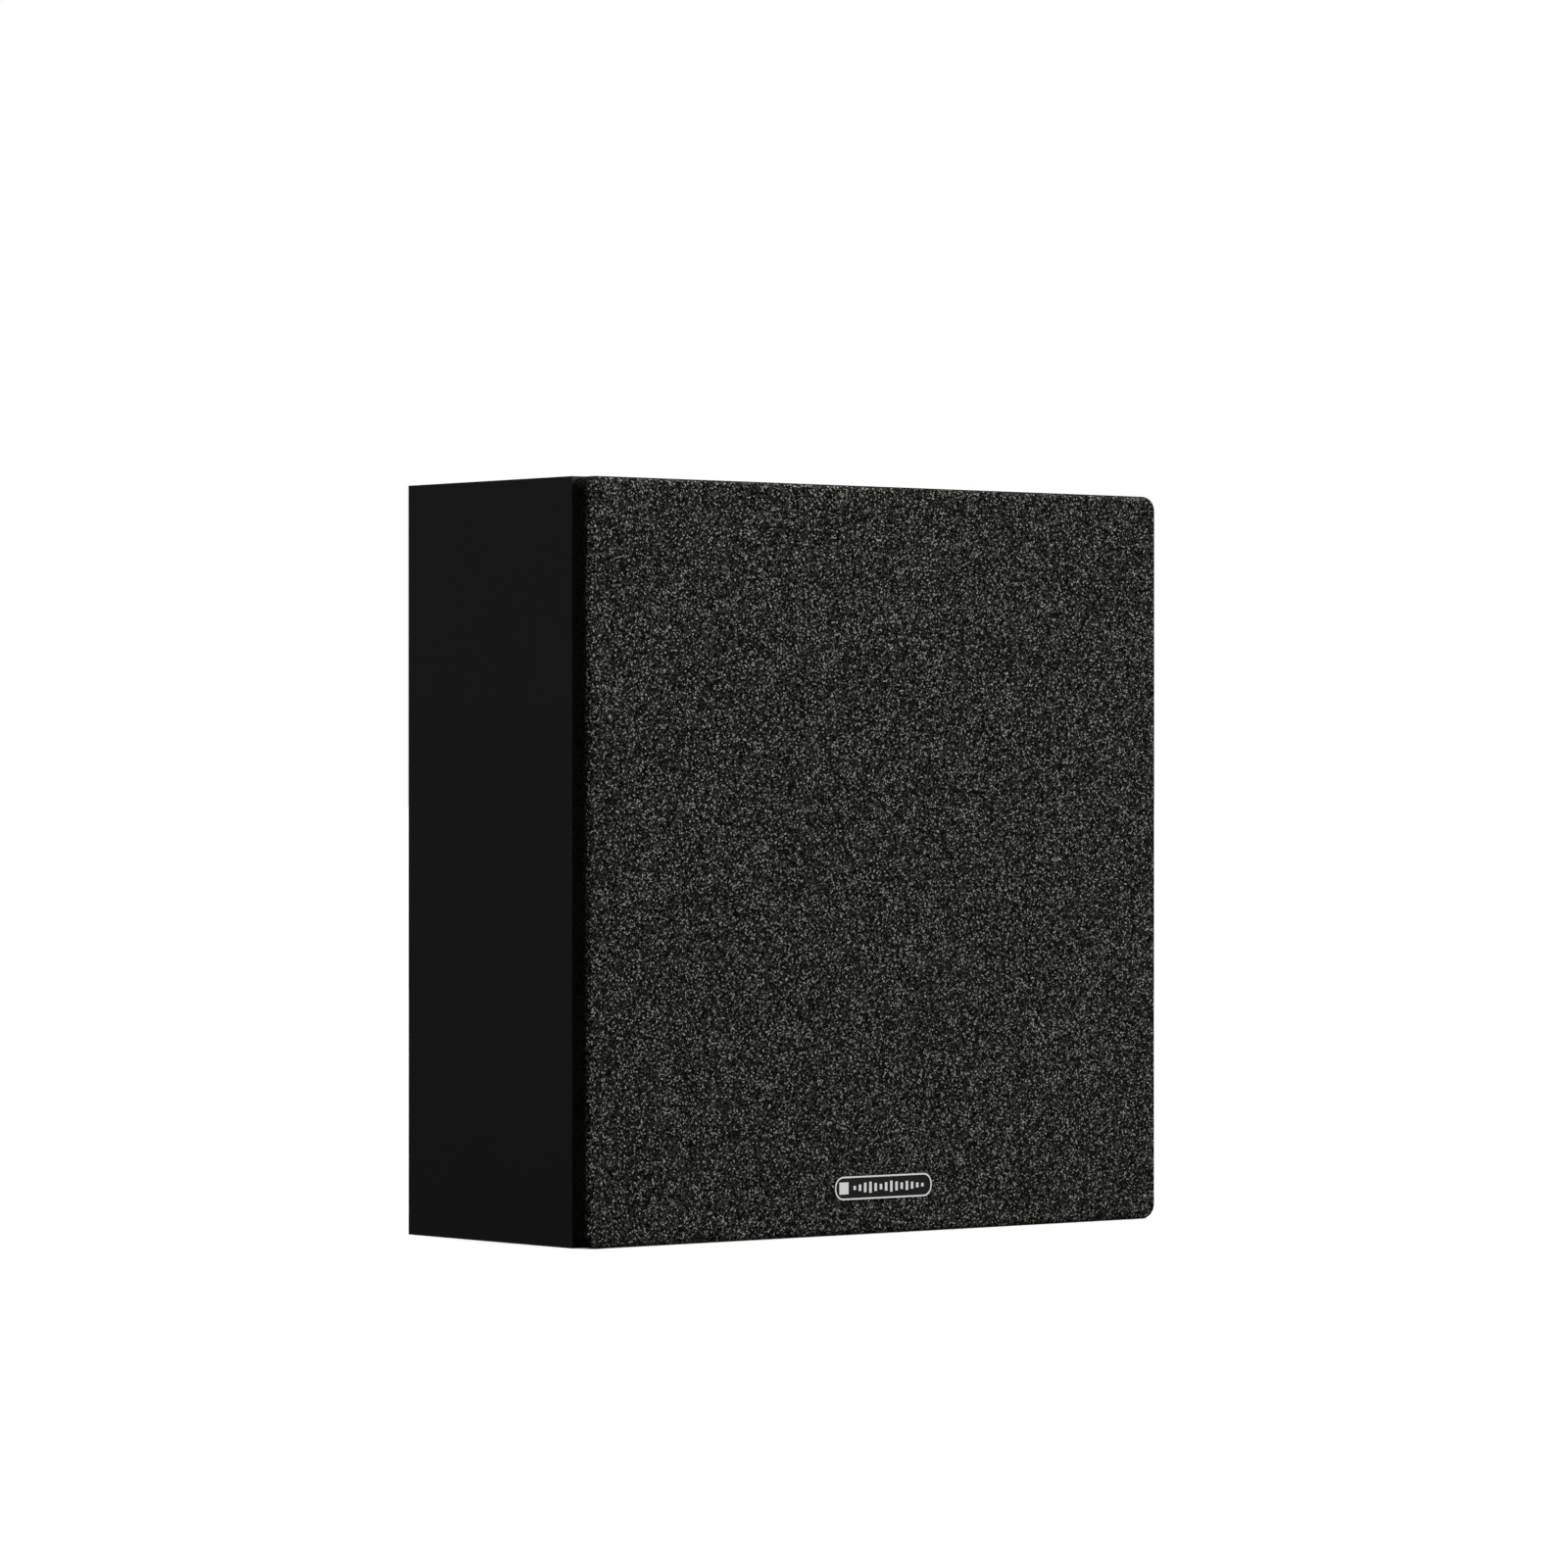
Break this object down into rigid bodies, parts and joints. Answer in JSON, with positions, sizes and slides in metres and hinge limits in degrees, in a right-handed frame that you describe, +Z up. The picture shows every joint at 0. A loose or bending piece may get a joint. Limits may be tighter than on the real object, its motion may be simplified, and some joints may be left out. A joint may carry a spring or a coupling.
{
  "type": "bookshelf speaker",
  "caption": "Shallow square box loudspeaker with a full-face cloth grille that pulls off, moving driver cones, and screw-cap binding posts in a recessed cup on the back.",
  "frame": {"origin": "middle of the base, half way between the badge's face and the back", "axes": "+Z up, +X to the right as the listener sees it, the grille faces -Y and the back faces +Y"},
  "size_m": [0.3, 0.1174, 0.3],
  "materials": {
    "cabinet_wrap": "satin black wrap over fibre board",
    "baffle_paint": "matt black paint over fibre board",
    "raw_board": "raw fibre board",
    "fibre": "loose polyester fibre",
    "black_moulding": "textured black moulding",
    "grille_cloth": "black speckled acoustic cloth",
    "badge": "gloss black with pale print",
    "nickel": "nickel plate",
    "black_steel": "black powder coat",
    "foam": "closed-cell foam",
    "rubber": "matt moulded rubber",
    "cone_paper": "pressed mineral-filled cone",
    "dust_cap": "pressed dome",
    "coil_former": "thin foil tube",
    "copper": "lacquered copper wire",
    "spider_cloth": "resin-dipped cloth",
    "zinc_steel": "zinc-plated steel",
    "ferrite": "sintered ferrite",
    "tag_strip": "phenolic strip with plated tags",
    "dome_cloth": "coated silk",
    "brass_tags": "plated tags",
    "gold_plate": "gold plate",
    "red_cap": "clear-coated red moulding",
    "black_cap": "gloss black moulding",
    "circuit_board": "solder-masked board",
    "capacitor_film": "wrapped film",
    "ceramic": "ceramic case",
    "nylon": "natural nylon",
    "lead_sheath": "stranded lead in a soft sheath"
  },
  "bodies": {
    "cabinet": {"baffle": "baffle_paint", "baffle_magnets": "nickel", "binding_nuts": "gold_plate", "binding_post_black": "gold_plate", "binding_post_red": "gold_plate", "bottom_panel": "cabinet_wrap", "cabinet_brace": "raw_board", "crossover_board": "circuit_board", "crossover_capacitors": "capacitor_film", "crossover_chokes": "copper", "crossover_resistors": "ceramic", "crossover_screws": "zinc_steel", "crossover_standoffs": "nylon", "input_leads": "lead_sheath", "keyhole_plates": "zinc_steel", "keyhole_screws": "zinc_steel", "rear_panel": "baffle_paint", "side_panel_left": "cabinet_wrap", "side_panel_right": "cabinet_wrap", "terminal_cup": "black_moulding", "terminal_gasket": "foam", "terminal_screws": "black_steel", "top_panel": "cabinet_wrap", "tweeter_faceplate": "black_moulding", "tweeter_guard": "black_steel", "tweeter_leads": "lead_sheath", "tweeter_magnet": "ferrite", "tweeter_rear_chamber": "black_moulding", "tweeter_screws": "black_steel", "tweeter_surround": "dome_cloth", "tweeter_terminals": "brass_tags", "tweeter_top_plate": "zinc_steel", "tweeter_yoke": "zinc_steel", "wadding_pad": "fibre", "woofer_basket": "black_steel", "woofer_gasket": "foam", "woofer_leads": "lead_sheath", "woofer_magnet": "ferrite", "woofer_screws": "black_steel", "woofer_spider": "spider_cloth", "woofer_surround": "rubber", "woofer_terminals": "tag_strip", "woofer_top_plate": "zinc_steel", "woofer_yoke": "zinc_steel"},
    "grille": {"grille_frame": "black_moulding", "grille_cloth": "grille_cloth", "grille_badge": "badge", "grille_magnets": "nickel"},
    "woofer_moving": {"woofer_cone": "cone_paper", "woofer_dust_cap": "dust_cap", "woofer_coil_former": "coil_former", "woofer_voice_coil": "copper"},
    "tweeter_moving": {"tweeter_dome": "dome_cloth", "tweeter_voice_coil": "copper"},
    "red_washer": {"binding_washer_red": "gold_plate"},
    "red_cap": {"binding_cap_red": "red_cap"},
    "black_washer": {"binding_washer_black": "gold_plate"},
    "black_cap": {"binding_cap_black": "black_cap"}
  },
  "joints": [
    {"name": "grille_pull", "type": "slide", "parent": "cabinet", "child": "grille", "axis": [0, -1, 0], "range_m": [0, 0.15]},
    {"name": "woofer_travel", "type": "slide", "parent": "cabinet", "child": "woofer_moving", "axis": [0, -1, 0], "range_m": [-0.004, 0.004], "stiffness_N_per_m": 1300, "deforming": ["woofer_surround", "woofer_spider"]},
    {"name": "tweeter_travel", "type": "slide", "parent": "cabinet", "child": "tweeter_moving", "axis": [0, -1, 0], "range_m": [-0.0004, 0.0004], "stiffness_N_per_m": 400, "deforming": ["tweeter_surround"]},
    {"name": "red_washer_slide", "type": "slide", "parent": "cabinet", "child": "red_washer", "axis": [0, 1, 0], "range_m": [0, 0.003]},
    {"name": "red_cap_turn", "type": "hinge", "parent": "red_washer", "child": "red_cap", "pos_m": [-0.0095, 0.049, 0.238], "axis": [0, 1, 0], "range_deg": [0, 1080]},
    {"name": "black_washer_slide", "type": "slide", "parent": "cabinet", "child": "black_washer", "axis": [0, 1, 0], "range_m": [0, 0.003]},
    {"name": "black_cap_turn", "type": "hinge", "parent": "black_washer", "child": "black_cap", "pos_m": [0.0095, 0.049, 0.238], "axis": [0, 1, 0], "range_deg": [0, 1080]}
  ],
  "couplings": [
    {"joint": "red_cap_turn", "follows": "red_washer_slide", "rad_per_m": 6283.2},
    {"joint": "black_cap_turn", "follows": "black_washer_slide", "rad_per_m": 6283.2}
  ]
}
